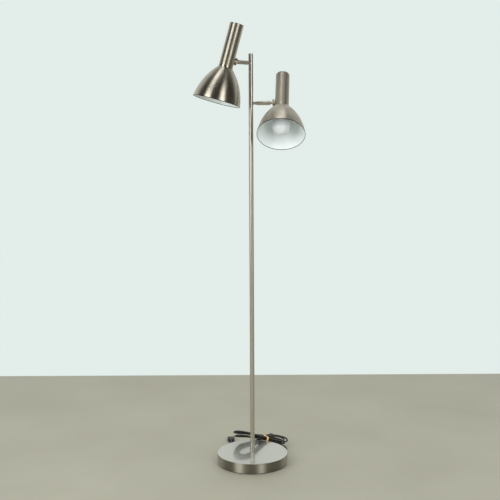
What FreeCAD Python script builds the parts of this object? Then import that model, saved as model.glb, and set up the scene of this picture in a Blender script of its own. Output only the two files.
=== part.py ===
import FreeCAD, Part
import math
import os

from FreeCAD import Vector

# Twin-head floor lamp in brushed steel: a round weighted base, one thin pole, two short arms
# and two adjustable heads. Millimetres, +Z up, origin at the centre of the base's underside.
# The viewer of the photographed lamp stands at -Y, with +X to the right.

os.makedirs("parts", exist_ok=True)

# ---------------------------------------------------------------- driving dimensions

BASE_RADIUS = 125.0
BASE_HEIGHT = 37.5
PAD_THICKNESS = 3.0
COVER_WALL = 1.2

POLE_RADIUS = 7.9
POLE_WALL = 1.2
POLE_TOP = 1432.0

LEFT_ARM_HEIGHT = 1401.0
LEFT_ARM_AZIMUTH = -130.0
RIGHT_ARM_HEIGHT = 1267.0
RIGHT_ARM_AZIMUTH = -10.0
ARM_LENGTH = 76.0           # pole axis to the centre of the ball

BALL_RADIUS = 6.0
HEAD_OFFSET = 31.0          # centre of the ball to the axis of the housing
HOUSING_RADIUS = 23.5
HOUSING_TOP = 118.0         # heights in a head are counted from its ball, up the housing
SHADE_TOP = -29.0
SHADE_HEIGHT = 114.0
SHADE_RIM_RADIUS = 80.3
SHADE_WALL = 1.0

CORD_DIAMETER = 5.8

# Pose of each head as photographed: where its stud points, and how far the head is turned
# about the stud from hanging straight down.
LEFT_STUD = {"azimuth": -155.8, "elevation": 15.4, "turn": -3.2}
RIGHT_STUD = {"azimuth": -12.6, "elevation": 7.3, "turn": -39.8}

SLIDE_GAP = 0.1             # between the ball, its liner and the socket


# ---------------------------------------------------------------- shapes used all over

def rod(radius, start, end, x=0.0, y=0.0):
    """A round bar along Z between two heights."""
    return Part.makeCylinder(radius, end - start, Vector(x, y, start))


def tube(outer, inner, start, end, x=0.0, y=0.0):
    """A round tube along Z between two heights."""
    return rod(outer, start, end, x, y).cut(rod(inner, start - 1, end + 1, x, y))


def lathe(edges):
    """A solid turned about Z from the closed outline that the edges make in the XZ plane."""
    face = Part.Face(Part.Wire(Part.__sortEdges__(edges)))
    return face.revolve(Vector(0, 0, 0), Vector(0, 0, 1), 360)


def turned(points):
    """A solid turned about Z from a closed outline of straight lines, given as (radius, z)."""
    corners = [Vector(radius, 0, z) for radius, z in points]
    corners.append(corners[0])
    return lathe([Part.makeLine(a, b) for a, b in zip(corners, corners[1:])])


def hexagon(across_flats, start, end):
    """A six-sided bar along Z."""
    corner_radius = across_flats / math.sqrt(3)
    corners = []
    for side in range(7):
        angle = math.radians(60 * side)
        corners.append(Vector(corner_radius * math.cos(angle), corner_radius * math.sin(angle), start))
    return Part.Face(Part.makePolygon(corners)).extrude(Vector(0, 0, end - start))


def lay_along_x(shape):
    """Turns a shape built along +Z so that it lies along +X."""
    result = shape.copy()
    result.rotate(Vector(0, 0, 0), Vector(0, 1, 0), 90)
    return result


def moved(shape, x, y, z):
    result = shape.copy()
    result.translate(Vector(x, y, z))
    return result


def save(name, shape):
    """Writes one piece as its own file."""
    solids = shape.Solids
    body = solids[0] if len(solids) == 1 else Part.makeCompound(solids)
    if not solids or not body.isValid():
        raise RuntimeError(name + " has no valid solid")
    body.exportStep("parts/" + name + ".step")


def direction(azimuth, elevation=0.0):
    """A unit vector from an azimuth counted from +X and an elevation, in degrees."""
    a, e = math.radians(azimuth), math.radians(elevation)
    return Vector(math.cos(e) * math.cos(a), math.cos(e) * math.sin(a), math.sin(e))


def place(shape, origin, x_axis, z_axis):
    """Moves a shape from its own frame to the frame with this origin, X axis and Z axis."""
    y_axis = z_axis.cross(x_axis)
    matrix = FreeCAD.Matrix(x_axis.x, y_axis.x, z_axis.x, origin.x,
                            x_axis.y, y_axis.y, z_axis.y, origin.y,
                            x_axis.z, y_axis.z, z_axis.z, origin.z,
                            0, 0, 0, 1)
    result = shape.copy()
    result.Placement = FreeCAD.Placement(matrix).multiply(shape.Placement)
    return result


# ---------------------------------------------------------------- base

CABLE_EXIT_AZIMUTH = 35.0
CABLE_EXIT_HEIGHT = 11.0
BALLAST_RADIUS = 118.0
BALLAST_TOP = 27.0
BUSH_RADIUS = 6.0
BUSH_BORE = 3.4
GLAND_RADIUS = 5.5
GLAND_END = 132.4           # distance of the gland's outer end from the lamp's axis
CHANNEL_WIDTH = 14.0

exit_direction = direction(CABLE_EXIT_AZIMUTH)

# Soft disc under the base: it is what the lamp stands on, and leaves a dark gap under the wall.
PAD_RADIUS = BASE_RADIUS - 9.0
save("base_pad", rod(PAD_RADIUS, 0.0, PAD_THICKNESS))

# Spun steel cover: a flat top and a straight wall, with a small turned edge between them.
EDGE_RADIUS = 1.6
cover = rod(BASE_RADIUS, PAD_THICKNESS, BASE_HEIGHT)
top_edge = [e for e in cover.Edges if abs(e.BoundBox.ZMin - BASE_HEIGHT) < 1e-6 and e.Closed]
cover = cover.makeFillet(EDGE_RADIUS, top_edge[:1])
cover = cover.cut(rod(BASE_RADIUS - COVER_WALL, PAD_THICKNESS - 1, BASE_HEIGHT - COVER_WALL))
cover = cover.cut(rod(BUSH_RADIUS + 0.2, 0, BASE_HEIGHT + 1))
gland_hole = place(rod(GLAND_RADIUS - 1.5, 100, 140), Vector(0, 0, CABLE_EXIT_HEIGHT), Vector(0, 0, -1),
                   exit_direction)
cover = cover.cut(gland_hole)
save("base_cover", cover)

# Cast iron disc: it keeps the lamp upright. A recess below takes the nut, a channel the cable.
ballast = rod(BALLAST_RADIUS, PAD_THICKNESS, BALLAST_TOP)
ballast = ballast.cut(rod(BUSH_RADIUS + 0.2, 0, BALLAST_TOP + 1))
ballast = ballast.cut(rod(22.0, PAD_THICKNESS - 1, 14.0))
channel = Part.makeBox(BALLAST_RADIUS + 5, CHANNEL_WIDTH, BALLAST_TOP, Vector(12.0, -CHANNEL_WIDTH / 2, 5.0))
channel.rotate(Vector(0, 0, 0), Vector(0, 0, 1), CABLE_EXIT_AZIMUTH)
ballast = ballast.cut(channel)

# Distance piece between the iron disc and the cover, so that the nut doesn't dent the top.
save("cover_spacer", tube(30.0, BUSH_RADIUS + 0.2, BALLAST_TOP, BASE_HEIGHT - COVER_WALL))

# Hollow screwed foot of the pole, with its washer and nut in the recess.
NUT_TOP = 12.4
WASHER_THICKNESS = 1.6
foot_bush = tube(BUSH_RADIUS, BUSH_BORE, 5.5, BASE_HEIGHT + 30.0)
foot_bush = foot_bush.fuse(tube(POLE_RADIUS - POLE_WALL, BUSH_BORE, BASE_HEIGHT, BASE_HEIGHT + 30.0))
save("pole_foot_bush", foot_bush)
save("foot_washer", tube(14.0, BUSH_RADIUS + 0.2, NUT_TOP, NUT_TOP + WASHER_THICKNESS))
save("foot_nut", hexagon(19.0, NUT_TOP - 6.0, NUT_TOP).cut(rod(BUSH_RADIUS, 0, 20)))

# Rubber gland in the wall, built along the cable: flange outside, flange inside, bore for the cable.
wall_inside = BASE_RADIUS - COVER_WALL
gland = turned([(CORD_DIAMETER / 2, 117.5), (GLAND_RADIUS, 117.5), (GLAND_RADIUS, wall_inside - 0.4),
                (GLAND_RADIUS - 1.5, wall_inside - 0.4), (GLAND_RADIUS - 1.5, BASE_RADIUS + 0.3),
                (GLAND_RADIUS, BASE_RADIUS + 0.3), (GLAND_RADIUS, BASE_RADIUS + 2.4),
                (CORD_DIAMETER / 2 + 1.0, GLAND_END), (CORD_DIAMETER / 2, GLAND_END)])
save("cord_gland", place(gland, Vector(0, 0, CABLE_EXIT_HEIGHT), Vector(0, 0, -1), exit_direction))

# Cable inside the base, from the gland's outer end to below the pole, and on up the pole.
inner_cable = rod(CORD_DIAMETER / 2, 16.0, GLAND_END)
save("base_cable", place(inner_cable, Vector(0, 0, CABLE_EXIT_HEIGHT), Vector(0, 0, -1), exit_direction))
save("pole_cable", rod(2.9, 16.5, RIGHT_ARM_HEIGHT - 8.0))

# Clamp that takes the pull off the cable: a bar over the channel and its screws.
CLAMP_DISTANCE = 84.0
clamp = Part.makeBox(9.0, 26.0, 2.0, Vector(-4.5, -13.0, 0))
screws = []
for side in (-1, 1):
    clamp = clamp.cut(rod(2.1, -1, 3, 0, side * 10.0))
    screw = rod(2.0, -8.0, 2.0, 0, side * 10.0).fuse(rod(3.6, 2.0, 4.2, 0, side * 10.0))
    screws.append(screw)
    ballast_hole = rod(2.0, -8.0, 0.0, 0, side * 10.0)
    hole_in_base = place(ballast_hole, Vector(0, 0, BALLAST_TOP) + exit_direction * CLAMP_DISTANCE,
                         exit_direction, Vector(0, 0, 1))
    ballast = ballast.cut(hole_in_base)
save("base_ballast", ballast)
saddle = Part.makeBox(9.0, 12.0, BALLAST_TOP - CABLE_EXIT_HEIGHT - CORD_DIAMETER / 2 - 0.1,
                      Vector(-4.5, -6.0, -(BALLAST_TOP - CABLE_EXIT_HEIGHT - CORD_DIAMETER / 2 - 0.1)))
clamp_origin = Vector(0, 0, BALLAST_TOP) + exit_direction * CLAMP_DISTANCE
save("cable_clamp", place(clamp.fuse(saddle), clamp_origin, exit_direction, Vector(0, 0, 1)))
save("cable_clamp_screws", place(Part.makeCompound(screws), clamp_origin, exit_direction, Vector(0, 0, 1)))

# ---------------------------------------------------------------- pole

NIPPLE_RADIUS = 4.0
NIPPLE_BORE = 2.4

pole = tube(POLE_RADIUS, POLE_RADIUS - POLE_WALL, BASE_HEIGHT, POLE_TOP - 1.0)
for height, azimuth in ((LEFT_ARM_HEIGHT, LEFT_ARM_AZIMUTH), (RIGHT_ARM_HEIGHT, RIGHT_ARM_AZIMUTH)):
    hole = place(rod(NIPPLE_RADIUS, 0, 20), Vector(0, 0, height), Vector(0, 0, -1), direction(azimuth))
    pole = pole.cut(hole)
save("pole", pole)

# Flat plug that closes the top of the pole.
save("pole_cap", rod(POLE_RADIUS, POLE_TOP - 1.0, POLE_TOP).fuse(
    rod(POLE_RADIUS - POLE_WALL, POLE_TOP - 9.0, POLE_TOP - 1.0)))

# ---------------------------------------------------------------- arms
# Each arm is built along +X from the pole's axis: a hollow nipple screwed into the pole, a
# slim neck, a thicker rod with a rounded end, and a ball on a stem.

NECK_RADIUS = 5.4
NECK_END = 20.0
ROD_RADIUS = 7.2
ROD_SHOULDER = 63.0         # where the rod starts to round off
ROD_END = 69.0
STEM_RADIUS = 3.0
WIRE_BORE = 1.5


def arm_pieces():
    neck = lay_along_x(tube(NECK_RADIUS, NIPPLE_RADIUS, 4.0, NECK_END))
    neck = neck.cut(rod(POLE_RADIUS, -20, 20))

    rounded_end = [
        Part.makeLine(Vector(0, 0, NECK_END), Vector(ROD_RADIUS, 0, NECK_END)),
        Part.makeLine(Vector(ROD_RADIUS, 0, NECK_END), Vector(ROD_RADIUS, 0, ROD_SHOULDER)),
        Part.Arc(Vector(ROD_RADIUS, 0, ROD_SHOULDER), Vector(6.0, 0, ROD_END - 2.0),
                 Vector(STEM_RADIUS, 0, ROD_END)).toShape(),
        Part.makeLine(Vector(STEM_RADIUS, 0, ROD_END), Vector(0, 0, ROD_END)),
        Part.makeLine(Vector(0, 0, ROD_END), Vector(0, 0, NECK_END)),
    ]
    arm = lathe(rounded_end)
    arm = arm.cut(rod(NIPPLE_RADIUS, NECK_END - 1, 30.0))
    arm = arm.cut(rod(NIPPLE_BORE, 20, 60.0))
    arm = arm.cut(rod(STEM_RADIUS, 60.0, 80.0))

    ball = rod(STEM_RADIUS, 60.0, ARM_LENGTH).fuse(Part.makeSphere(BALL_RADIUS, Vector(0, 0, ARM_LENGTH)))
    ball = ball.cut(rod(WIRE_BORE, 50.0, 100.0))
    return {"arm_neck": neck, "arm_rod": lay_along_x(arm), "ball": lay_along_x(ball)}


# ---------------------------------------------------------------- heads
# A head is built in its own frame: origin at the ball, +X along the stud to the housing's
# axis, +Z up the housing. The shade hangs at -Z.

LINER_RADIUS = 7.0
SOCKET_RADIUS = 12.8
SOCKET_FACE = -2.6          # front face of the socket, before the ball's centre
SOCKET_BACK = 4.0
NECK_OF_SOCKET = 8.6
NUT_FACE = 9.6

SWITCH_TERMINALS = HOUSING_TOP - 33.0
LEAD_RADIUS = 2.2
HOLDER_RADIUS = 19.8
HOLDER_FRONT = -60.0
HOLDER_BACK = -26.0
BULB_CENTRE = -109.0
BULB_RADIUS = 30.0
CAP_RADIUS = 13.1
CAP_TOP = -36.0


def about_housing(shape):
    """Moves a shape built about Z onto the housing's axis."""
    return moved(shape, HEAD_OFFSET, 0, 0)


def ball_zone(outer, inner, front, back):
    """A ring between two spheres about the ball, cut flat at two distances along X."""
    ring = Part.makeSphere(outer).cut(Part.makeSphere(inner))
    return ring.common(Part.makeBox(back - front, 40, 40, Vector(front, -20, -20)))


def socket_pieces():
    # Nylon liner: the front ring grips the ball, the rear cup backs it. Both slide on spheres.
    liner = ball_zone(LINER_RADIUS, BALL_RADIUS + 0.05, -2.4, -0.2)
    cup = ball_zone(LINER_RADIUS, BALL_RADIUS + 0.05, 4.4, 5.9)

    # Round socket: a thin disc on a boss that is shaped to the housing and screwed through it.
    housing_solid = about_housing(rod(HOUSING_RADIUS, -60, 60))
    disc = lay_along_x(turned([(0, SOCKET_FACE), (8.0, SOCKET_FACE), (SOCKET_RADIUS, SOCKET_FACE + 2.4),
                               (SOCKET_RADIUS, SOCKET_BACK), (0, SOCKET_BACK)]))
    boss = lay_along_x(rod(10.0, SOCKET_BACK, 16.0)).cut(housing_solid)
    thread = lay_along_x(rod(NECK_OF_SOCKET, SOCKET_BACK, 14.0))
    socket = disc.fuse([boss, thread])
    socket = socket.cut(Part.makeSphere(LINER_RADIUS + SLIDE_GAP))
    socket = socket.cut(lay_along_x(rod(3.0, 0, 20.0)))
    nut = lay_along_x(hexagon(22.0, NUT_FACE + 0.2, NUT_FACE + 3.4).cut(rod(NECK_OF_SOCKET, 0, 20)))
    inside = about_housing(rod(HOUSING_RADIUS - 1.0, -60, 60))
    nut = nut.common(inside)
    return {"ball_liner": liner, "ball_cup": cup, "socket": socket, "socket_nut": nut}


def housing_pieces():
    # Drawn tube, open at both ends, with the hole for the socket's thread.
    housing = about_housing(tube(HOUSING_RADIUS, HOUSING_RADIUS - 1.0, SHADE_TOP, HOUSING_TOP - 1.2))
    housing = housing.cut(lay_along_x(rod(NECK_OF_SOCKET, 0, 20)))

    # Rear cap: a flat lid with a skirt, and a round hole with a collar for the switch.
    cap = tube(HOUSING_RADIUS, 9.2, HOUSING_TOP - 1.2, HOUSING_TOP)
    cap = cap.fuse(tube(HOUSING_RADIUS - 1.0, HOUSING_RADIUS - 2.2, HOUSING_TOP - 9.0, HOUSING_TOP - 1.2))

    # Push switch: the body hangs under the lid, the button is set just below its face.
    body = rod(12.0, HOUSING_TOP - 26.0, HOUSING_TOP - 1.2)
    body = body.cut(rod(7.6, HOUSING_TOP - 12.0, HOUSING_TOP + 1))
    terminals = [Part.makeBox(3.0, 0.8, 7.0, Vector(x, -0.4, SWITCH_TERMINALS)) for x in (-7.0, 4.0)]
    body = body.fuse(terminals)
    button = rod(7.5, HOUSING_TOP - 8.5, HOUSING_TOP - 0.6)
    button = button.makeChamfer(0.6, [e for e in button.Edges if e.BoundBox.ZMin > HOUSING_TOP - 0.7])
    return {"housing": housing, "housing_cap": about_housing(cap),
            "switch_body": about_housing(body), "switch_button": about_housing(button)}


def shade_arc(offset):
    """The bell's curve from its shoulder to its rim, moved inwards by an offset."""
    shoulder = Vector(24.3 - offset, 0, SHADE_TOP - 0.4 * offset)
    middle = Vector(58.7 - offset * 0.83, 0, SHADE_TOP - 47.0 - offset * 0.55)
    rim = Vector(SHADE_RIM_RADIUS - offset, 0, SHADE_TOP - SHADE_HEIGHT)
    return Part.Arc(shoulder, middle, rim).toShape()


def shade_pieces():
    # Spun bell with a short collar round the housing and an inner flange for the lampholder.
    outer = shade_arc(0.0)
    inner = shade_arc(SHADE_WALL)
    top_out, top_in = outer.valueAt(outer.FirstParameter), inner.valueAt(inner.FirstParameter)
    rim_out, rim_in = outer.valueAt(outer.LastParameter), inner.valueAt(inner.LastParameter)
    collar_top = SHADE_TOP + 5.0
    flange_radius = HOLDER_RADIUS + 0.3
    path = [top_out, Vector(24.4, 0, SHADE_TOP + 0.6), Vector(24.4, 0, collar_top),
            Vector(HOUSING_RADIUS, 0, collar_top), Vector(HOUSING_RADIUS, 0, SHADE_TOP),
            Vector(flange_radius, 0, SHADE_TOP), Vector(flange_radius, 0, top_in.z), top_in]
    edges = [Part.makeLine(a, b) for a, b in zip(path, path[1:])]
    shell = lathe([outer, inner, Part.makeLine(rim_out, rim_in)] + edges)

    # Rolled bead that stiffens the rim.
    bead = Part.makeTorus(SHADE_RIM_RADIUS - 0.5, 0.8, Vector(0, 0, SHADE_TOP - SHADE_HEIGHT))
    shell = shell.fuse(bead)

    # Threaded ring that clamps the bell's flange against the lampholder.
    ring = tube(23.0, HOLDER_RADIUS, SHADE_TOP - 5.5, top_in.z)
    return {"shade": about_housing(shell), "shade_ring": about_housing(ring)}


def holder_pieces():
    # Lampholder: a threaded skirt open to the front, a shoulder on the bell's flange, a domed back.
    skirt = tube(HOLDER_RADIUS, CAP_RADIUS + 0.7, HOLDER_FRONT, SHADE_TOP)
    skirt = skirt.fuse(tube(21.8, CAP_RADIUS + 0.7, SHADE_TOP, HOLDER_BACK))
    back = turned([(0, HOLDER_BACK), (21.0, HOLDER_BACK), (21.0, -20.0), (14.0, -15.5), (5.0, -15.5),
                   (5.0, -10.0), (0, -10.0)])
    back = back.cut(rod(LEAD_RADIUS, -20, 0))
    # Strap across the housing that carries the lampholder by its threaded neck.
    strap = Part.makeBox(12.0, 43.6, 1.5, Vector(-6.0, -21.8, -13.5)).cut(rod(5.0, -20, 0))
    strap = strap.common(rod(HOUSING_RADIUS - 1.0, -20, 0))
    # Its wires run up inside the housing to the switch.
    lead = rod(LEAD_RADIUS, -15.4, SWITCH_TERMINALS - 0.5)
    return {"lampholder": skirt, "lampholder_back": back, "holder_strap": strap, "head_lead": lead}


def bulb_form(inset):
    """The bulb's pear shape, drawn in all over by an inset: round end, shoulder, narrowing neck."""
    radius = BULB_RADIUS - inset
    neck_top = -61.0 - inset
    join = math.radians(42.0)
    low = Vector(0, 0, BULB_CENTRE - radius)
    side = Vector(radius, 0, BULB_CENTRE)
    shoulder = Vector(radius * math.cos(join), 0, BULB_CENTRE + radius * math.sin(join))
    neck = Vector(CAP_RADIUS - 0.6 - inset, 0, neck_top)
    bend = (shoulder + neck) * 0.5 + Vector(-1.6, 0, -1.6)
    half = math.sqrt(0.5) * radius
    return lathe([
        Part.Arc(low, Vector(half, 0, BULB_CENTRE - half), side).toShape(),
        Part.Arc(side, Vector(radius * math.cos(join / 2), 0, BULB_CENTRE + radius * math.sin(join / 2)),
                 shoulder).toShape(),
        Part.Arc(shoulder, bend, neck).toShape(),
        Part.makeLine(neck, Vector(0, 0, neck_top)),
        Part.makeLine(Vector(0, 0, neck_top), low)])


def bulb_pieces():
    # Opal pear-shaped bulb: a hollow glass and its screw cap.
    neck_top = -61.0
    glass = bulb_form(0.0).cut(bulb_form(0.9))
    cap = turned([(0, neck_top), (CAP_RADIUS, neck_top), (CAP_RADIUS, -41.0), (6.0, -37.5), (5.0, CAP_TOP),
                  (0, CAP_TOP)])
    return {"bulb_glass": glass, "bulb_cap": cap}


def head_pieces():
    pieces = {}
    pieces.update(socket_pieces())
    pieces.update(housing_pieces())
    pieces.update(shade_pieces())
    for name, shape in list(holder_pieces().items()) + list(bulb_pieces().items()):
        pieces[name] = about_housing(shape)
    return pieces


def stud_frame(stud):
    """The head's X axis (its stud) and Z axis (up its housing) in the lamp's frame."""
    along = direction(stud["azimuth"], stud["elevation"])
    upright = Vector(0, 0, 1) - along * along.z
    upright.normalize()
    sideways = along.cross(upright)
    turn = math.radians(stud["turn"])
    return along, upright * math.cos(turn) + sideways * math.sin(turn)


arms = arm_pieces()
heads = head_pieces()
nipple = lay_along_x(tube(NIPPLE_RADIUS, NIPPLE_BORE, 3.4, 30.0))
nipples = []
for side, height, azimuth, stud in (("left", LEFT_ARM_HEIGHT, LEFT_ARM_AZIMUTH, LEFT_STUD),
                                    ("right", RIGHT_ARM_HEIGHT, RIGHT_ARM_AZIMUTH, RIGHT_STUD)):
    outwards = direction(azimuth)
    ball_centre = Vector(0, 0, height) + outwards * ARM_LENGTH
    along, up = stud_frame(stud)
    print(side, "ball", tuple(round(v, 3) for v in ball_centre), "stud", tuple(round(v, 4) for v in along),
          "up", tuple(round(v, 4) for v in up))
    nipples.append(place(nipple, Vector(0, 0, height), outwards, Vector(0, 0, 1)))
    for name, shape in arms.items():
        save(side + "_" + name, place(shape, Vector(0, 0, height), outwards, Vector(0, 0, 1)))
    for name, shape in heads.items():
        save(side + "_" + name, place(shape, ball_centre, along, up))

# Hollow threaded nipples that hold the arms on the pole: one alike for each arm.
save("arm_nipples", Part.makeCompound(nipples))

# ---------------------------------------------------------------- cord
# The cord leaves the base at the rear right, turns back to the hank that leans over the rear
# edge of the base, and goes from there along the floor to a two-pin plug.


def unit(v):
    result = Vector(v)
    result.normalize()
    return result


def rounded_route(points):
    """Straight runs through the points with a tangent arc at each inner point."""
    edges, radii, last = [], [], points[0]
    for before, corner, after in zip(points, points[1:], points[2:]):
        back, ahead = before - corner, after - corner
        shorter = min(back.Length, ahead.Length)
        half_turn = (math.pi - back.getAngle(ahead)) / 2
        radius = 0.45 * shorter / math.tan(half_turn)
        start = corner + unit(back) * (0.45 * shorter)
        end = corner + unit(ahead) * (0.45 * shorter)
        towards_centre = unit(unit(back) + unit(ahead))
        centre = corner + towards_centre * (radius / math.cos(half_turn))
        middle = centre - towards_centre * radius
        edges.append(Part.LineSegment(last, start).toShape())
        edges.append(Part.Arc(start, middle, end).toShape())
        radii.append(radius)
        last = end
    edges.append(Part.LineSegment(last, points[-1]).toShape())
    return Part.Wire(edges), radii


def sweep_cord(path, start, heading):
    """A round cord swept along a path."""
    circle = Part.Wire(Part.makeCircle(CORD_DIAMETER / 2, start, heading))
    return path.makePipeShell([circle], True, False)


def free_cord(name, points):
    """Writes one free stretch of cord, and prints its length, its radii and its volume's share."""
    path, radii = rounded_route(points)
    solid = sweep_cord(path, points[0], points[1] - points[0])
    expected = math.pi * (CORD_DIAMETER / 2) ** 2 * path.Length
    lowest = solid.optimalBoundingBox(False, False).ZMin
    print(name, "length %.1f" % path.Length, "radii", [round(r, 1) for r in radii],
          "volume share %.4f" % (solid.Volume / expected), "lowest %.2f" % lowest)
    save(name, solid)
    return path.Length


# The hank's own frame: u along it to the right, w across it to the viewer, n off its face. The
# face twists slowly along u. The waist, at u = 0, is where the tie sits.
HANK_CENTRE = Vector(46.9, 131.8, 43.8)
HANK_ALONG = unit(Vector(0.857, 0.434, -0.277))
HANK_ACROSS = unit(Vector(HANK_ALONG.y, -HANK_ALONG.x, 0))
HANK_FACE = HANK_ACROSS.cross(HANK_ALONG)
HANK_TWIST = -0.0035        # radians per millimetre
LAYER_GAP = 6.6             # between the two layers at the waist
FAN = 0.030                 # how fast each layer lifts away from the waist
STEP = 7.0                  # from one loop to the next, across the hank
WAIST = 15.9                # half widths of the outer loop
RIGHT_WIDTH = 27.5
LEFT_WIDTH = 35.0
RIGHT_SHOULDER = 50.0       # where the loops are widest, from the tie
LEFT_SHOULDER = 82.0
RIGHT_REACH = 98.0          # how far the outer loop reaches from the tie
LEFT_REACH = 127.0
RIGHT_STEP = 15.0
LEFT_STEP = 9.0
LOOPS = 4.5


def hank_frame(u):
    angle = HANK_TWIST * u
    across = HANK_ACROSS * math.cos(angle) + HANK_FACE * math.sin(angle)
    face = HANK_FACE * math.cos(angle) - HANK_ACROSS * math.sin(angle)
    return across, face


def hank_key(u, w, n, du, dw, dn):
    """A point of the hank and its heading, from its own frame to the lamp's."""
    across, face = hank_frame(u)
    point = HANK_CENTRE + HANK_ALONG * u + across * w + face * n
    heading = HANK_ALONG * du + across * (dw - n * HANK_TWIST * du) + face * (dn + w * HANK_TWIST * du)
    return point, unit(heading)


def spiral(turn):
    """How many steps a loop has drawn in: inwards for two turns, then out again."""
    return turn if turn <= 2.0 else 4.0 - turn


def layer_height(turn, u):
    """Height off the hank's middle face: the lower layer first, then the upper one."""
    side = -1.0 if turn <= 2.05 else 1.0
    return side * (LAYER_GAP / 2 + FAN * abs(u))


def hank_keys():
    """Eight keys in each loop: two at the waist, two at each shoulder pair, one at each end."""
    keys = []
    for step in range(int(LOOPS * 8) + 1):
        turn = step / 8.0
        inwards = spiral(turn)
        phase = step % 8
        left, far = phase in (1, 2, 3), phase in (3, 4, 5)
        width = (LEFT_WIDTH if left else RIGHT_WIDTH) - STEP * inwards
        sign = -1.0 if far else 1.0
        shoulder = -LEFT_SHOULDER if left else RIGHT_SHOULDER
        if left:
            end_of_loop = -(LEFT_REACH - LEFT_STEP * inwards)
        else:
            end_of_loop = RIGHT_REACH - RIGHT_STEP * inwards
        if phase in (0, 4):
            u, w, du, dw = 0.0, sign * (WAIST - STEP * inwards), -sign, 0.0
        elif phase in (2, 6):
            u, w, du, dw = end_of_loop, 0.0, 0.0, (-1.0 if left else 1.0)
        else:
            u, w, du, dw = shoulder, sign * width, -sign, 0.0
        slope = FAN * math.copysign(1.0, u) * (1.0 if turn > 2.05 else -1.0)
        dn = du * slope if phase in (1, 3, 5, 7) else 0.0
        keys.append(hank_key(u, w, layer_height(turn, u), du, dw, dn))
    return keys


def biarc(start, heading, end, end_heading):
    """Two arcs that leave the start and reach the end along the given headings."""
    chord = end - start
    both = heading + end_heading
    a = 2.0 * (heading.dot(end_heading) - 1.0)
    b = -2.0 * chord.dot(both)
    c = chord.dot(chord)
    if abs(a) < 1e-9:
        reach = -c / b
    else:
        reach = (-b - math.sqrt(b * b - 4.0 * a * c)) / (2.0 * a)
    first, second = start + heading * reach, end - end_heading * reach
    join = (first + second) * 0.5
    arcs = []
    for a_point, corner, b_point in ((start, first, join), (join, second, end)):
        middle = (a_point + b_point) * 0.5
        rise = corner - middle
        half_chord = (b_point - a_point).Length / 2
        turn = math.pi - (a_point - corner).getAngle(b_point - corner)
        if rise.Length < 1e-4 or turn < 1e-4:
            arcs.append(Part.LineSegment(a_point, b_point).toShape())
        else:
            top = middle + unit(rise) * (half_chord * math.tan(turn / 4))
            arcs.append(Part.Arc(a_point, top, b_point).toShape())
    return arcs


def least_gap(path, diameter):
    """Smallest clear gap between stretches of the path that are well apart along it."""
    count = int(path.Length / 2.0)
    spacing = path.Length / count
    points = path.discretize(Number=count + 1)
    skip = int(6 * diameter / spacing)
    cells, size, best = {}, 12.0, 1e9
    for index, p in enumerate(points):
        cells.setdefault((int(p.x // size), int(p.y // size), int(p.z // size)), []).append(index)
    for (i, j, k), members in cells.items():
        near = [m for a in (-1, 0, 1) for b in (-1, 0, 1) for c in (-1, 0, 1)
                for m in cells.get((i + a, j + b, k + c), [])]
        for m in members:
            for other in near:
                if other - m > skip:
                    best = min(best, (points[m] - points[other]).Length)
    return best - diameter


keys = hank_keys()
lead_in = hank_key(34.0, 26.1, -(LAYER_GAP / 2 + FAN * 34.0), -1.0, -0.32, 0.0)
lead_out = hank_key(24.0, -25.2, LAYER_GAP / 2 + FAN * 24.0, 1.0, -0.46, 0.0)
hank_start = lead_in[0] - lead_in[1] * CORD_DIAMETER
hank_end = lead_out[0] + lead_out[1] * CORD_DIAMETER
hank_edges = [Part.LineSegment(hank_start, lead_in[0]).toShape()]
all_keys = [lead_in] + keys + [lead_out]
for (point, heading), (next_point, next_heading) in zip(all_keys, all_keys[1:]):
    hank_edges += biarc(point, heading, next_point, next_heading)
hank_edges.append(Part.LineSegment(lead_out[0], hank_end).toShape())
hank_path = Part.Wire(hank_edges)
hank = sweep_cord(hank_path, hank_start, lead_in[1])
tightest = min(e.Curve.Radius for e in hank_edges if hasattr(e.Curve, "Radius"))
print("cord_hank length %.1f" % hank_path.Length, "tightest %.1f" % tightest,
      "least gap to itself %.2f" % least_gap(hank_path, CORD_DIAMETER),
      "volume share %.4f" % (hank.Volume / (math.pi * (CORD_DIAMETER / 2) ** 2 * hank_path.Length)),
      "lowest %.2f" % hank.optimalBoundingBox(False, False).ZMin, "gap to the base %.2f" % hank.distToShape(cover)[0])
save("cord_hank", hank)

# Band round the waist of the hank, rounded where it goes over the outer strands.
TIE_THICKNESS = 0.8
TIE_WIDTH = 7.0
TIE_CLEARANCE = 0.7         # between the band and the strands


def tie_block(margin, width):
    """The space inside the band, grown by a margin. The far side holds one strand more."""
    corner = CORD_DIAMETER / 2 + TIE_CLEARANCE + margin
    near, far, height = WAIST + corner, WAIST + STEP / 2 + corner, LAYER_GAP / 2 + corner
    box = Part.makeBox(width, near + far, 2 * height, Vector(-width / 2, -near, -height))
    return box.makeFillet(corner, [e for e in box.Edges if e.BoundBox.XLength > width - 0.1])


tie = tie_block(TIE_THICKNESS, TIE_WIDTH).cut(tie_block(0.0, TIE_WIDTH + 2.0))
tie = place(tie, HANK_CENTRE, HANK_ALONG, HANK_FACE)
print("tie to hank %.2f" % tie.distToShape(hank)[0], "tie to base %.2f" % tie.distToShape(cover)[0])
save("cord_tie", tie)

# Route from the gland to the hank: a short loop behind the rear right of the base.
gland_end = exit_direction * GLAND_END + Vector(0, 0, CABLE_EXIT_HEIGHT)
lead_length = free_cord("cord_from_base", [
    gland_end,
    gland_end + exit_direction * 16.0,
    Vector(127.0, 101.0, 10.0),
    Vector(120.5, 117.0, 14.0),
    hank_start - lead_in[1] * 15.5,
    hank_start,
])

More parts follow.
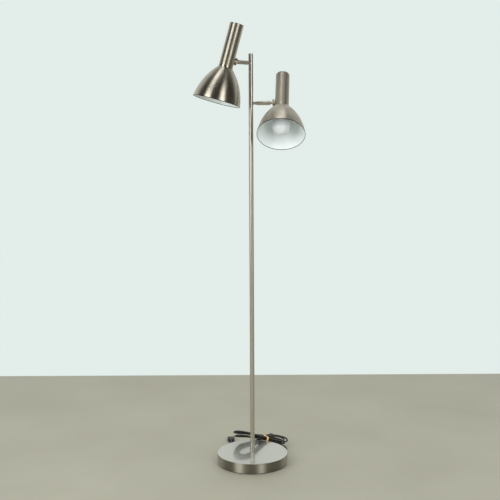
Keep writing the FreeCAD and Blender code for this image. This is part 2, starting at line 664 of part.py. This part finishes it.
# Route from the hank to the plug: down to the floor, to the left, and round close behind the
# base, so that the plug lies with its pins away from the viewer.
PLUG_HEADING = unit(Vector(-0.05, 1.0, 0))
PLUG_REAR = Vector(-80.0, 195.0, 7.2)
tail_length = free_cord("cord_to_plug", [
    hank_end,
    hank_end + lead_out[1] * 24.0,
    Vector(82.0, 209.0, 25.0),
    Vector(65.0, 230.0, 10.5),
    Vector(36.0, 234.0, 3.6),
    Vector(8.0, 222.0, 3.0),
    Vector(-10.0, 198.0, 3.0),
    Vector(-13.5, 170.5, 3.0),
    Vector(-14.0, 144.0, 3.0),
    Vector(-33.0, 125.5, 3.0),
    Vector(-59.0, 125.5, 3.0),
    Vector(-78.0, 144.0, 3.2),
    PLUG_REAR - PLUG_HEADING * 24.0,
    PLUG_REAR,
])
print("free cord outside the base: %.0f mm" % (lead_length + hank_path.Length + tail_length))

# Two-pin plug: built along +Z from the cord's end, flat body, ribbed sleeve as one taper.
PLUG_LENGTH = 34.0
PIN_SPACING = 18.6
PIN_LENGTH = 19.0
PIN_RADIUS = 2.0
PIN_SIDE = 0.8              # the pins sit this far below the cord's middle
PLUG_HALF_WIDTH = 13.2
PLUG_TOP = -6.0             # top and bottom faces; the plug's Y points down to the floor
PLUG_BOTTOM = 7.0
plug_front = 12.0 + PLUG_LENGTH
sleeve = Part.makeCone(CORD_DIAMETER / 2 + 0.7, 5.2, 16.0)
half_outline = [(7.0, 12.0), (PLUG_HALF_WIDTH, 25.0), (PLUG_HALF_WIDTH, plug_front)]
outline = [Vector(x, PLUG_TOP, z) for x, z in half_outline]
outline += [Vector(-x, PLUG_TOP, z) for x, z in reversed(half_outline)]
outline.append(outline[0])
block = Part.Face(Part.makePolygon(outline)).extrude(Vector(0, PLUG_BOTTOM - PLUG_TOP, 0))
block = block.makeFillet(3.0, [e for e in block.Edges if e.BoundBox.YLength < 0.1])
plug = block.fuse(sleeve)
pins = []
for side in (-1, 1):
    x = side * PIN_SPACING / 2
    pin_tip = plug_front + PIN_LENGTH - PIN_RADIUS
    pin = rod(PIN_RADIUS, plug_front - 6.0, pin_tip, x, PIN_SIDE)
    pins.append(pin.fuse(Part.makeSphere(PIN_RADIUS, Vector(x, PIN_SIDE, pin_tip))))
    plug = plug.cut(rod(PIN_RADIUS, plug_front - 6.0, plug_front + 1.0, x, PIN_SIDE))
plug_across = PLUG_HEADING.cross(Vector(0, 0, 1))
save("plug_body", place(plug, PLUG_REAR, plug_across, PLUG_HEADING))
save("plug_pins", place(Part.makeCompound(pins), PLUG_REAR, plug_across, PLUG_HEADING))
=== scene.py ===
import math

import bpy
from mathutils import Matrix, Vector


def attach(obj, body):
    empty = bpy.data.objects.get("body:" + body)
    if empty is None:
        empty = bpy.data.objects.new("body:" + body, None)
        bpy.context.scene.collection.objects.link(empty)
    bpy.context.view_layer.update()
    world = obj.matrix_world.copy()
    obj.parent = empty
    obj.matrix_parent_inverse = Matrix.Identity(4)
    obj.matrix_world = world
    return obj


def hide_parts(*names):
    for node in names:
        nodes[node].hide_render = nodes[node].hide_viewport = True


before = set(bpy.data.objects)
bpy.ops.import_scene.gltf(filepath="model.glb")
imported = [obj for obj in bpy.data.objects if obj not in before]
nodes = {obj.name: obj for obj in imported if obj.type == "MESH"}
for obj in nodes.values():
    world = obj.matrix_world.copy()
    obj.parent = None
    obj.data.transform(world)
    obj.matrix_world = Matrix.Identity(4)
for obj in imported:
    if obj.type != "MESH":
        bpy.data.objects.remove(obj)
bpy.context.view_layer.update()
MM = 0.001


# ---------------------------------------------------------------- base: spun cover
# A shallow drum of steel, polished and lacquered. The top was turned on a lathe, so its fine
# lines run round; the wall was brushed the same way and shows soft upright bands of light.

def linear(hex_colour):
    """An sRGB hex colour as linear RGBA."""
    channels = [int(hex_colour[i:i + 2], 16) / 255 for i in (1, 3, 5)]
    return [c / 12.92 if c <= 0.04045 else ((c + 0.055) / 1.055) ** 2.4 for c in channels] + [1.0]


def add(tree, kind, values=None, **settings):
    """Adds a node. Values are numbers, colours or the sockets that feed its inputs."""
    node = tree.nodes.new(kind)
    for name, value in settings.items():
        setattr(node, name, value)
    for name, value in (values or {}).items():
        if isinstance(value, bpy.types.NodeSocket):
            tree.links.new(value, node.inputs[name])
        else:
            node.inputs[name].default_value = value
    return node


def new_material(name):
    """An empty node material, its tree and its surface shader."""
    material = bpy.data.materials.new(name)
    material.use_nodes = True
    tree = material.node_tree
    tree.nodes.clear()
    shader = add(tree, "ShaderNodeBsdfPrincipled")
    add(tree, "ShaderNodeOutputMaterial", {"Surface": shader.outputs["BSDF"]})
    return material, tree, shader


def noise(tree, where, size_mm, detail=2.0, roughness=0.5):
    """A grey noise whose patches are about size_mm across, from a position in metres."""
    texture = add(tree, "ShaderNodeTexNoise", {"Vector": where, "Scale": 1 / (size_mm * MM),
                                               "Detail": detail, "Roughness": roughness})
    return texture.outputs["Fac"]


def spread(tree, fac, low, high, from_low=0.3, from_high=0.7):
    """Maps a factor onto a range of numbers."""
    return add(tree, "ShaderNodeMapRange", {"Value": fac, "From Min": from_low, "From Max": from_high,
                                            "To Min": low, "To Max": high}).outputs["Result"]


def mix(tree, fac, first, second):
    """Mixes two colours, each a colour or a socket."""
    node = add(tree, "ShaderNodeMix", {"Factor": fac}, data_type="RGBA")
    for index, value in ((6, first), (7, second)):
        if isinstance(value, bpy.types.NodeSocket):
            tree.links.new(value, node.inputs[index])
        else:
            node.inputs[index].default_value = value
    return node.outputs[2]


def about_axis(tree, centre, axis):
    """The place of a point about an axis: its height, its distance, and the way round."""
    position = add(tree, "ShaderNodeTexCoord").outputs["Object"]
    from_centre = add(tree, "ShaderNodeVectorMath", {0: position, 1: centre},
                      operation="SUBTRACT").outputs[0]
    height = add(tree, "ShaderNodeVectorMath", {0: from_centre, 1: axis},
                 operation="DOT_PRODUCT").outputs["Value"]
    round_way = add(tree, "ShaderNodeVectorMath", {0: axis, 1: from_centre},
                    operation="CROSS_PRODUCT").outputs[0]
    distance = add(tree, "ShaderNodeVectorMath", {0: round_way}, operation="LENGTH").outputs["Value"]
    return position, height, distance, round_way


# The wheel's grooves are about 0.05 mm apart. They are drawn ten times as coarse, to show.
GROOVE_SHOWN = 0.5
GROOVE_DEPTH = 0.0002
WHEEL_BAND = 19.0
HAND_SMEAR = 38.0
QUARTER_TURN = 0.25


def lathe_metal(name, colour, shadow, centre, axis, roughness, wear, grooved=0.85):
    """Metal brushed round an axis: fine grooves, broader bands of the wheel, and smears."""
    material, tree, shader = new_material(name)
    position, height, distance, round_way = about_axis(tree, centre, axis)
    profile = add(tree, "ShaderNodeCombineXYZ", {"X": height, "Y": distance}).outputs[0]
    fine = noise(tree, profile, GROOVE_SHOWN, 3.0, 0.6)
    bands = noise(tree, profile, WHEEL_BAND, 2.0)
    smears = noise(tree, position, HAND_SMEAR, 4.0, 0.62)
    tone = mix(tree, spread(tree, bands, 0.0, 0.3), linear(colour), linear(shadow))
    tone = mix(tree, spread(tree, fine, 0.0, 0.06), tone, linear(shadow))
    tree.links.new(tone, shader.inputs["Base Color"])
    tree.links.new(spread(tree, smears, roughness - wear, roughness + wear), shader.inputs["Roughness"])
    shader.inputs["Metallic"].default_value = 1.0
    # The grooves run round, so the light smears across them: a quarter turn from the tangent.
    shader.inputs["Anisotropic"].default_value = grooved
    shader.inputs["Anisotropic Rotation"].default_value = QUARTER_TURN
    groove = add(tree, "ShaderNodeVectorTransform", {"Vector": round_way}, vector_type="VECTOR",
                 convert_from="OBJECT", convert_to="WORLD")
    tree.links.new(groove.outputs[0], shader.inputs["Tangent"])
    relief = add(tree, "ShaderNodeBump", {"Height": fine, "Distance": GROOVE_DEPTH * MM})
    tree.links.new(relief.outputs["Normal"], shader.inputs["Normal"])
    return material, tree, shader


def wear_on(node_name, material):
    """Gives a piece of the frame its material."""
    slots = nodes[node_name].data.materials
    slots.clear()
    slots.append(material)


UP = Vector((0, 0, 1))
FLOOR_POINT = (0, 0, 0)
# The wall's colours are painted darker than the top's: painted shade on the wall.
cover_metal, tree, shader = lathe_metal("nickel_plated_steel_lacquered", "#aaa597", "#98927f",
                                        FLOOR_POINT, UP, 0.46, 0.03, 0.96)
# The top was buffed further than the wall: it mirrors, through the haze of the lacquer. Its colours are
# lighter than the wall's. The wall's darker colours are painted shade.
position = add(tree, "ShaderNodeTexCoord")
upward = add(tree, "ShaderNodeSeparateXYZ", {0: position.outputs["Normal"]}).outputs["Z"]
top_over_shaded_wall = spread(tree, upward, 0.0, 1.0, 0.4, 0.9)
haze = noise(tree, position.outputs["Object"], 30.0, 4.0, 0.6)
mirror = add(tree, "ShaderNodeBsdfPrincipled", {"Base Color": linear("#cfd0c8"), "Metallic": 1.0,
                                                "Roughness": spread(tree, haze, 0.09, 0.13)})
film = add(tree, "ShaderNodeBsdfPrincipled", {"Base Color": linear("#c9cac2"), "Metallic": 1.0,
                                              "Roughness": spread(tree, haze, 0.5, 0.6)})
buffed = add(tree, "ShaderNodeMixShader", {0: spread(tree, haze, 0.5, 0.58), 1: mirror.outputs[0],
                                           2: film.outputs[0]})
whole = add(tree, "ShaderNodeMixShader", {0: top_over_shaded_wall, 1: shader.outputs[0], 2: buffed.outputs[0]})
output = next(n for n in tree.nodes if n.type == "OUTPUT_MATERIAL")
tree.links.new(whole.outputs[0], output.inputs["Surface"])
wear_on("base_cover", cover_metal)


# ---------------------------------------------------------------- base: pad, iron and fixings
# A black rubber pad keeps the drum off the floor. Inside are a cast iron disc with a pebbled,
# painted skin, and zinc-plated hardware with the greyish bloom that plating takes.

def plain_material(name, colour, second, size_mm, roughness, metallic=0.0, relief_mm=0.02,
                   edge_mm=0.3):
    """A cast, moulded or plated stuff: two close tones in patches, and a fine grain."""
    material, tree, shader = new_material(name)
    position = add(tree, "ShaderNodeTexCoord").outputs["Object"]
    patches = noise(tree, position, size_mm, 4.0, 0.6)
    grain = noise(tree, position, size_mm / 12, 2.0)
    tree.links.new(mix(tree, spread(tree, patches, 0.0, 1.0), linear(colour), linear(second)),
                   shader.inputs["Base Color"])
    tree.links.new(spread(tree, patches, roughness - 0.06, roughness + 0.08), shader.inputs["Roughness"])
    shader.inputs["Metallic"].default_value = metallic
    edges = add(tree, "ShaderNodeBevel", {"Radius": edge_mm * MM}, samples=4)
    relief = add(tree, "ShaderNodeBump", {"Height": grain, "Distance": relief_mm * MM,
                                          "Normal": edges.outputs[0]})
    tree.links.new(relief.outputs["Normal"], shader.inputs["Normal"])
    return material


pad_rubber = plain_material("pad_rubber_pressed", "#171716", "#24231f", 9.0, 0.72, relief_mm=0.05)
cast_iron = plain_material("cast_iron_painted_black", "#232323", "#34322e", 14.0, 0.6, 0.3, 0.25, 0.8)
zinc = plain_material("steel_zinc_plated", "#b6b7b4", "#94938c", 6.0, 0.38, 1.0, 0.01, 0.2)
wear_on("base_pad", pad_rubber)
wear_on("base_ballast", cast_iron)
for name in ("cover_spacer", "pole_foot_bush", "foot_washer", "foot_nut", "cable_clamp_screws"):
    wear_on(name, zinc)

# ---------------------------------------------------------------- cord: gland and clamp
# The cord leaves the wall through a black rubber gland, softer and greyer than the cord. A
# nylon bar inside takes the pull. The cable inside the base is the same as outside.

gland_rubber = plain_material("gland_rubber_moulded", "#1a1a1a", "#262523", 5.0, 0.55, relief_mm=0.03)
nylon = plain_material("nylon_natural_moulded", "#ddd8c8", "#cfc8b4", 6.0, 0.42, relief_mm=0.01)
wear_on("cord_gland", gland_rubber)
wear_on("cable_clamp", nylon)

# ---------------------------------------------------------------- cord: from gland to plug
# One black PVC mains lead, 5.8 mm thick: out of the gland and round, four and a half loose
# loops of the hank drawn in by a band at its waist, and a tail along the floor to the plug.

CORD_DIAMETER = 5.8
GLAND_END = 132.4
EXIT_AZIMUTH = math.radians(35.0)
EXIT_WAY = Vector((math.cos(EXIT_AZIMUTH), math.sin(EXIT_AZIMUTH), 0))
HANK_CENTRE = Vector((46.9, 131.8, 43.8))
HANK_ALONG = Vector((0.857, 0.434, -0.277)).normalized()
HANK_ACROSS = Vector((HANK_ALONG.y, -HANK_ALONG.x, 0)).normalized()
HANK_FACE = HANK_ACROSS.cross(HANK_ALONG)
HANK_TWIST = -0.0035        # radians per millimetre
LAYER_GAP = 6.6             # between its two layers at the waist
FAN = 0.030                 # how fast each layer lifts away from the waist
STEP = 7.0                  # from one loop to the next, across it
LOOPS = 4.5
LEFT_REACH = 127.0          # of the outermost loop, from the waist
LEFT_REACH_STEP = 9.0       # shorter with each loop inwards
RIGHT_REACH = 98.0
RIGHT_REACH_STEP = 15.0
LEFT_SHOULDER = -82.0       # where a loop is widest, each side of the waist
RIGHT_SHOULDER = 50.0
LEFT_HALF_WIDTH = 35.0
RIGHT_HALF_WIDTH = 27.5
WAIST_HALF_WIDTH = 15.9
WAIST_STRAIGHT = 15         # half of each straight stretch: waist, left and right shoulder
LEFT_STRAIGHT = 13
RIGHT_STRAIGHT = 10
FOLD_STRAIGHT = 0.42        # the stretch at a fold, as a share of the loop's half width


def hank_point(u, w, n):
    """A point of the hank from its own frame: along to the right, across to the viewer, off its face."""
    angle = HANK_TWIST * u
    across = HANK_ACROSS * math.cos(angle) + HANK_FACE * math.sin(angle)
    face = HANK_FACE * math.cos(angle) - HANK_ACROSS * math.sin(angle)
    return HANK_CENTRE + HANK_ALONG * u + across * w + face * n


def hank_loops():
    """Each loop has eight places where the lead runs straight on; a pair of points spans each."""
    points = []
    for step in range(int(8 * LOOPS) + 1):
        turn = step / 8
        inwards = turn if turn <= 2 else 4 - turn
        layer = -1 if turn <= 2.05 else 1
        phase = step % 8
        side = -1 if phase in (3, 4, 5) else 1
        if phase in (0, 4):
            u, w, half, along = 0, side * (WAIST_HALF_WIDTH - STEP * inwards), WAIST_STRAIGHT, (-side, 0)
        elif phase == 2:
            u, w, along = -(LEFT_REACH - LEFT_REACH_STEP * inwards), 0, (0, -1)
            half = FOLD_STRAIGHT * (LEFT_HALF_WIDTH - STEP * inwards)
        elif phase == 6:
            u, w, along = RIGHT_REACH - RIGHT_REACH_STEP * inwards, 0, (0, 1)
            half = FOLD_STRAIGHT * (RIGHT_HALF_WIDTH - STEP * inwards)
        elif phase in (1, 3):
            u, w, along = LEFT_SHOULDER, side * (LEFT_HALF_WIDTH - STEP * inwards), (-side, 0)
            half = LEFT_STRAIGHT
        else:
            u, w, along = RIGHT_SHOULDER, side * (RIGHT_HALF_WIDTH - STEP * inwards), (-side, 0)
            half = RIGHT_STRAIGHT
        for way in (-1, 1):
            at_u, at_w = u + way * half * along[0], w + way * half * along[1]
            points.append(hank_point(at_u, at_w, layer * (LAYER_GAP / 2 + FAN * abs(at_u))))
    return points


gland_end = EXIT_WAY * GLAND_END + Vector((0, 0, 11.0))
lead_in = hank_point(34.0, 26.1, -(LAYER_GAP / 2 + FAN * 34.0))
lead_out = hank_point(24.0, -25.2, LAYER_GAP / 2 + FAN * 24.0)
loops = hank_loops()
in_way = (loops[0] - lead_in).normalized()
out_way = (lead_out - loops[-1]).normalized()
hank_end = lead_out + out_way * CORD_DIAMETER
PLUG_WAY = Vector((-0.05, 1.0, 0)).normalized()
PLUG_REAR = Vector((-80.0, 195.0, 7.2))
route = [gland_end, gland_end + EXIT_WAY * 16.0, Vector((127.0, 101.0, 10.0)), Vector((120.5, 117.0, 14.0)),
         lead_in - in_way * 21.3, lead_in]
route += loops
route += [lead_out, hank_end + out_way * 24.0, Vector((82.0, 209.0, 25.0)), Vector((65.0, 230.0, 10.5)),
          Vector((36.0, 234.0, 3.6)), Vector((8.0, 222.0, 3.0)), Vector((-10.0, 198.0, 3.0)),
          Vector((-13.5, 170.5, 3.0)), Vector((-14.0, 144.0, 3.0)), Vector((-33.0, 125.5, 3.0)),
          Vector((-59.0, 125.5, 3.0)), Vector((-78.0, 144.0, 3.2)), PLUG_REAR - PLUG_WAY * 24.0, PLUG_REAR]


def smooth_line(name, points, diameter):
    """An open NURBS line through control points in millimetres, round and of that diameter."""
    curve = bpy.data.curves.new(name, "CURVE")
    curve.dimensions = "3D"
    spline = curve.splines.new("NURBS")
    spline.points.add(len(points) - 1)
    for knot, point in zip(spline.points, points):
        knot.co = (point.x * MM, point.y * MM, point.z * MM, 1)
    spline.order_u = 3
    spline.use_endpoint_u = True
    spline.resolution_u = 8
    curve.bevel_depth = diameter / 2 * MM
    curve.bevel_resolution = 5
    curve.use_fill_caps = True
    line = bpy.data.objects.new(name, curve)
    bpy.context.scene.collection.objects.link(line)
    return line


lead_pvc = plain_material("lead_pvc_extruded", "#121212", "#1d1c1b", 24.0, 0.36, relief_mm=0.02, edge_mm=0.1)
lead = smooth_line("mains_lead", route, CORD_DIAMETER)
lead.data.materials.append(lead_pvc)
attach(lead, "stand")
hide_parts("cord_from_base", "cord_hank", "cord_to_plug")
for name in ("base_cable", "pole_cable", "left_head_lead", "right_head_lead"):
    wear_on(name, lead_pvc)

# ---------------------------------------------------------------- cord: tie and plug
# A band of tan plastic holds the waist of the hank. The plug is one black moulding with a
# satin skin and round nickel-plated brass pins, lightly scratched by use.

tie_plastic = plain_material("tie_plastic_moulded", "#e6c385", "#d9ae66", 8.0, 0.5, relief_mm=0.03)
plug_pvc = plain_material("plug_pvc_moulded", "#151515", "#201f1e", 12.0, 0.48, relief_mm=0.05,
                          edge_mm=0.8)
pin_metal = plain_material("pins_brass_nickel_plated", "#c8c0a4", "#a89d7e", 4.0, 0.28, 1.0, 0.01, 0.2)
wear_on("cord_tie", tie_plastic)
wear_on("plug_body", plug_pvc)
wear_on("plug_pins", pin_metal)

# ---------------------------------------------------------------- pole
# Drawn steel tube, polished along its length and plated: bright, with faint long draw lines
# and a little haze where hands hold it. A flat turned cap closes the top.

DRAW_LINE = 0.7             # drawn about five times as coarse as the real lines, to show
DRAW_STRETCH = (1.0, 1.0, 0.01)


def drawn_metal(name, colour, shadow, roughness):
    """Metal with fine lines along Z, as drawing and belt polishing leave them."""
    material, tree, shader = new_material(name)
    position = add(tree, "ShaderNodeTexCoord").outputs["Object"]
    stretched = add(tree, "ShaderNodeVectorMath", {0: position, 1: DRAW_STRETCH},
                    operation="MULTIPLY").outputs[0]
    lines = noise(tree, stretched, DRAW_LINE, 3.0, 0.6)
    haze = noise(tree, position, 90.0, 4.0, 0.6)
    tree.links.new(mix(tree, spread(tree, lines, 0.0, 0.2), linear(colour), linear(shadow)),
                   shader.inputs["Base Color"])
    tree.links.new(spread(tree, haze, roughness - 0.04, roughness + 0.07), shader.inputs["Roughness"])
    shader.inputs["Metallic"].default_value = 1.0
    relief = add(tree, "ShaderNodeBump", {"Height": lines, "Distance": 0.0001 * MM})
    tree.links.new(relief.outputs["Normal"], shader.inputs["Normal"])
    return material


pole_metal = drawn_metal("nickel_plated_tube_drawn", "#c6c2b6", "#b3ada0", 0.32)
cap_metal = lathe_metal("nickel_plated_steel_turned", "#c4c1b8", "#b0aca2", FLOOR_POINT, UP, 0.26, 0.03)[0]
wear_on("pole", pole_metal)
wear_on("pole_cap", cap_metal)

# ---------------------------------------------------------------- arms
# Short turned arms: brass nipples screwed in the pole, a slim neck, a rod with a rounded end
# and a polished ball. They were polished on a lathe, so the lines run round each arm.

# Height on the pole in millimetres, and the way it points in degrees.
ARMS = {"left": (1401.0, -130.0), "right": (1267.0, -10.0)}
BALL_FROM_POLE = 76.0
turned_brass = plain_material("brass_turned", "#b8924a", "#97753a", 3.0, 0.3, 1.0, 0.01, 0.2)
wear_on("arm_nipples", turned_brass)
ball_centres = {}
for side, (height, azimuth) in ARMS.items():
    angle = math.radians(azimuth)
    outwards = Vector((math.cos(angle), math.sin(angle), 0))
    root = UP * height * MM
    ball_centres[side] = root + outwards * BALL_FROM_POLE * MM
    arm_metal = lathe_metal("nickel_plated_arm_" + side, "#c6c2b6", "#a8a294", root, outwards, 0.34,
                            0.03, 0.5)[0]
    for piece in ("arm_neck", "arm_rod", "ball"):
        wear_on(side + "_" + piece, arm_metal)

# ---------------------------------------------------------------- heads: socket and housing
# Each housing is a drawn tube brushed round its axis with a satin wheel, under a clear
# lacquer; its cap and the socket on its side are finished alike. Nylon grips the ball.

# Each head's stud: azimuth, elevation, and the head's turn about it, in degrees.
STUDS = {"left": (-155.8, 15.4, -3.2), "right": (-12.6, 7.3, -39.8)}
HEAD_OFFSET = 31.0
phenolic = plain_material("phenolic_black_pressed", "#1b1815", "#292420", 10.0, 0.34, relief_mm=0.02,
                          edge_mm=0.4)
switch_plastic = plain_material("switch_plastic_moulded", "#161616", "#222120", 7.0, 0.4, relief_mm=0.02,
                                edge_mm=0.5)
head_axes = {}
for side, (azimuth, elevation, turn) in STUDS.items():
    a, e, t = (math.radians(v) for v in (azimuth, elevation, turn))
    stud = Vector((math.cos(e) * math.cos(a), math.cos(e) * math.sin(a), math.sin(e)))
    upright = (UP - stud * stud.z).normalized()
    upwards = upright * math.cos(t) + stud.cross(upright) * math.sin(t)
    centre = ball_centres[side] + stud * HEAD_OFFSET * MM
    head_axes[side] = (centre, upwards)
    satin = lathe_metal("satin_nickel_housing_" + side, "#b3ae9f", "#979081", centre, upwards, 0.42,
                        0.04, 0.75)[0]
    for piece in ("housing", "housing_cap"):
        wear_on(side + "_" + piece, satin)
    socket_metal = lathe_metal("satin_nickel_socket_" + side, "#bfbaac", "#9f9889", ball_centres[side],
                               stud, 0.36, 0.04, 0.5)[0]
    wear_on(side + "_socket", socket_metal)
    wear_on(side + "_ball_liner", nylon)
    wear_on(side + "_ball_cup", nylon)
    wear_on(side + "_socket_nut", zinc)
    wear_on(side + "_holder_strap", zinc)
    wear_on(side + "_switch_body", phenolic)
    wear_on(side + "_switch_button", switch_plastic)

# ---------------------------------------------------------------- heads: bells
# Each bell was spun from sheet steel: satin nickel outside with the wheel's lines round it,
# and a white enamel inside, sprayed, glossy and a little uneven towards the rim.

ENAMEL_TOP = -30.0
BEAD_TOP = -142.0
for side, (centre, axis) in head_axes.items():
    metal, tree, shader = lathe_metal("spun_steel_bell_" + side, "#b8b3a4", "#9b9484", centre, axis,
                                      0.3, 0.04)
    position, height, _, round_way = about_axis(tree, centre, axis)
    facing = add(tree, "ShaderNodeTexCoord").outputs["Normal"]
    outwards = add(tree, "ShaderNodeVectorMath", {0: round_way, 1: axis},
                   operation="CROSS_PRODUCT").outputs[0]
    outward_share = add(tree, "ShaderNodeVectorMath", {0: facing, 1: outwards},
                        operation="DOT_PRODUCT").outputs["Value"]
    inside = add(tree, "ShaderNodeMath", {0: outward_share, 1: -0.001}, operation="LESS_THAN").outputs[0]
    # The enamel starts below the collar. The rolled bead at the rim is left bare, and its colour is painted
    # near black: painted shade round the rim.
    below_collar = add(tree, "ShaderNodeMath", {0: height, 1: ENAMEL_TOP * MM},
                       operation="LESS_THAN").outputs[0]
    above_shaded_bead = add(tree, "ShaderNodeMath", {0: height, 1: BEAD_TOP * MM},
                     operation="GREATER_THAN").outputs[0]
    bare = shader.inputs["Base Color"].links[0].from_socket
    # The bead's near-black colour is painted shade.
    tree.links.new(mix(tree, above_shaded_bead, linear("#38352c"), bare), shader.inputs["Base Color"])
    in_reach = add(tree, "ShaderNodeMath", {0: below_collar, 1: above_shaded_bead},
                   operation="MULTIPLY").outputs[0]
    enamelled = add(tree, "ShaderNodeMath", {0: inside, 1: in_reach}, operation="MULTIPLY").outputs[0]
    enamel = add(tree, "ShaderNodeBsdfPrincipled")
    clouds = noise(tree, position, 16.0, 4.0, 0.6)
    peel = noise(tree, position, 1.6, 2.0)
    tree.links.new(mix(tree, spread(tree, clouds, 0.0, 1.0), linear("#f4fafa"), linear("#ecf3f4")),
                   enamel.inputs["Base Color"])
    tree.links.new(spread(tree, clouds, 0.26, 0.36), enamel.inputs["Roughness"])
    relief = add(tree, "ShaderNodeBump", {"Height": peel, "Distance": 0.02 * MM})
    tree.links.new(relief.outputs["Normal"], enamel.inputs["Normal"])
    both = add(tree, "ShaderNodeMixShader", {0: enamelled, 1: shader.outputs[0], 2: enamel.outputs[0]})
    output = next(n for n in tree.nodes if n.type == "OUTPUT_MATERIAL")
    tree.links.new(both.outputs[0], output.inputs["Surface"])
    wear_on(side + "_shade", metal)

# ---------------------------------------------------------------- heads: lampholder and bulb
# Black pressed phenolic lampholder and clamping ring; a plain opal bulb, smooth and milky, with
# a spun aluminium screw cap.

opal, tree, shader = new_material("glass_opal_blown")
position = add(tree, "ShaderNodeTexCoord").outputs["Object"]
milk = noise(tree, position, 22.0, 3.0)
tree.links.new(mix(tree, spread(tree, milk, 0.0, 1.0), linear("#e3e8ec"), linear("#d9dfe4")),
               shader.inputs["Base Color"])
tree.links.new(spread(tree, milk, 0.12, 0.2), shader.inputs["Roughness"])
shader.inputs["Subsurface Weight"].default_value = 0.2
shader.inputs["Subsurface Radius"].default_value = (0.004, 0.004, 0.004)
screw_cap = plain_material("aluminium_cap_spun", "#c9c9c6", "#aeaeaa", 5.0, 0.34, 1.0, 0.01, 0.2)
for side in head_axes:
    wear_on(side + "_lampholder", phenolic)
    wear_on(side + "_lampholder_back", phenolic)
    wear_on(side + "_shade_ring", phenolic)
    wear_on(side + "_bulb_glass", opal)
    wear_on(side + "_bulb_cap", screw_cap)

# ---------------------------------------------------------------- stage: floor and light
# A plain floor and a pale surround. Two tall soft lights, one each side of the camera, with dark
# between and beside them in the metal, give it its bands; one above fills the rest.

floor_paint, tree, shader = new_material("floor_plain_pale")
position = add(tree, "ShaderNodeTexCoord").outputs["Object"]
clouded = noise(tree, position, 400.0, 3.0)
tree.links.new(mix(tree, spread(tree, clouded, 0.0, 1.0), linear("#999888"), linear("#929181")),
               shader.inputs["Base Color"])
shader.inputs["Roughness"].default_value = 0.6
FLOOR_REACH = 6
FLOOR_BACK = 1.18
floor_mesh = bpy.data.meshes.new("floor")
floor_mesh.from_pydata([(-FLOOR_REACH, -FLOOR_REACH, 0), (FLOOR_REACH, -FLOOR_REACH, 0),
                        (FLOOR_REACH, FLOOR_BACK, 0), (-FLOOR_REACH, FLOOR_BACK, 0)], [], [(0, 1, 2, 3)])
floor = bpy.data.objects.new("floor", floor_mesh)
floor.data.materials.append(floor_paint)
bpy.context.scene.collection.objects.link(floor)

surround = bpy.data.worlds.new("surround")
surround.use_nodes = True
tree = surround.node_tree
tree.nodes.clear()
# Metal shows a dark room in front of the lamp and the pale wall behind it.
light_path = add(tree, "ShaderNodeLightPath")
way = add(tree, "ShaderNodeSeparateXYZ", {0: add(tree, "ShaderNodeTexCoord").outputs["Generated"]})
behind = add(tree, "ShaderNodeMapRange", {"Value": way.outputs["Y"], "From Min": 0.1, "From Max": 0.5})
room = mix(tree, behind.outputs["Result"], linear("#2b261e"), linear("#e6e9e6"))
lit = mix(tree, light_path.outputs["Is Glossy Ray"], linear("#ffffff"), room)
seen = mix(tree, light_path.outputs["Is Camera Ray"], lit, linear("#e3ede9"))
background = add(tree, "ShaderNodeBackground", {"Color": seen, "Strength": 1.0})
add(tree, "ShaderNodeOutputWorld", {"Surface": background.outputs[0]})
bpy.context.scene.world = surround


def soft_light(name, place, target, width, height, watts):
    """A rectangular soft light at a place, facing a target."""
    light = bpy.data.lights.new(name, "AREA")
    light.shape = "RECTANGLE"
    light.size = width
    light.size_y = height
    light.energy = watts
    lamp = bpy.data.objects.new(name, light)
    lamp.location = place
    lamp.rotation_euler = (Vector(target) - Vector(place)).to_track_quat("-Z", "Y").to_euler()
    bpy.context.scene.collection.objects.link(lamp)


soft_light("window_left", (-2.4, -2.4, 1.9), (0, 0, 0.9), 1.5, 3.2, 60)
soft_light("window_right", (1.6, -2.9, 1.9), (0, 0, 0.9), 1.1, 3.2, 40)
soft_light("ceiling", (-0.3, -0.2, 4.0), (-0.1, 0, 0.6), 0.8, 3.0, 20)

# ---------------------------------------------------------------- camera
# It stands 3.2 m in front at the photographed height, looks a little down and leans a hair.

CAMERA_PLACE = Vector((-0.0056, -3.2, 1.1838))
PITCH = math.radians(7.478)
ROLL = math.radians(-0.2835)
forward = Vector((0, math.cos(PITCH), -math.sin(PITCH)))
level_right = Vector((1, 0, 0))
level_up = level_right.cross(forward)
right = level_right * math.cos(ROLL) + level_up * math.sin(ROLL)
top = right.cross(forward)
lens = bpy.data.cameras.new("camera")
lens.sensor_width = 36
lens.lens = 67.0
camera = bpy.data.objects.new("camera", lens)
camera.matrix_world = Matrix((
    (right.x, top.x, -forward.x, CAMERA_PLACE.x),
    (right.y, top.y, -forward.y, CAMERA_PLACE.y),
    (right.z, top.z, -forward.z, CAMERA_PLACE.z),
    (0, 0, 0, 1)))
bpy.context.scene.collection.objects.link(camera)
bpy.context.scene.camera = camera
bpy.context.scene.view_settings.view_transform = "Standard"
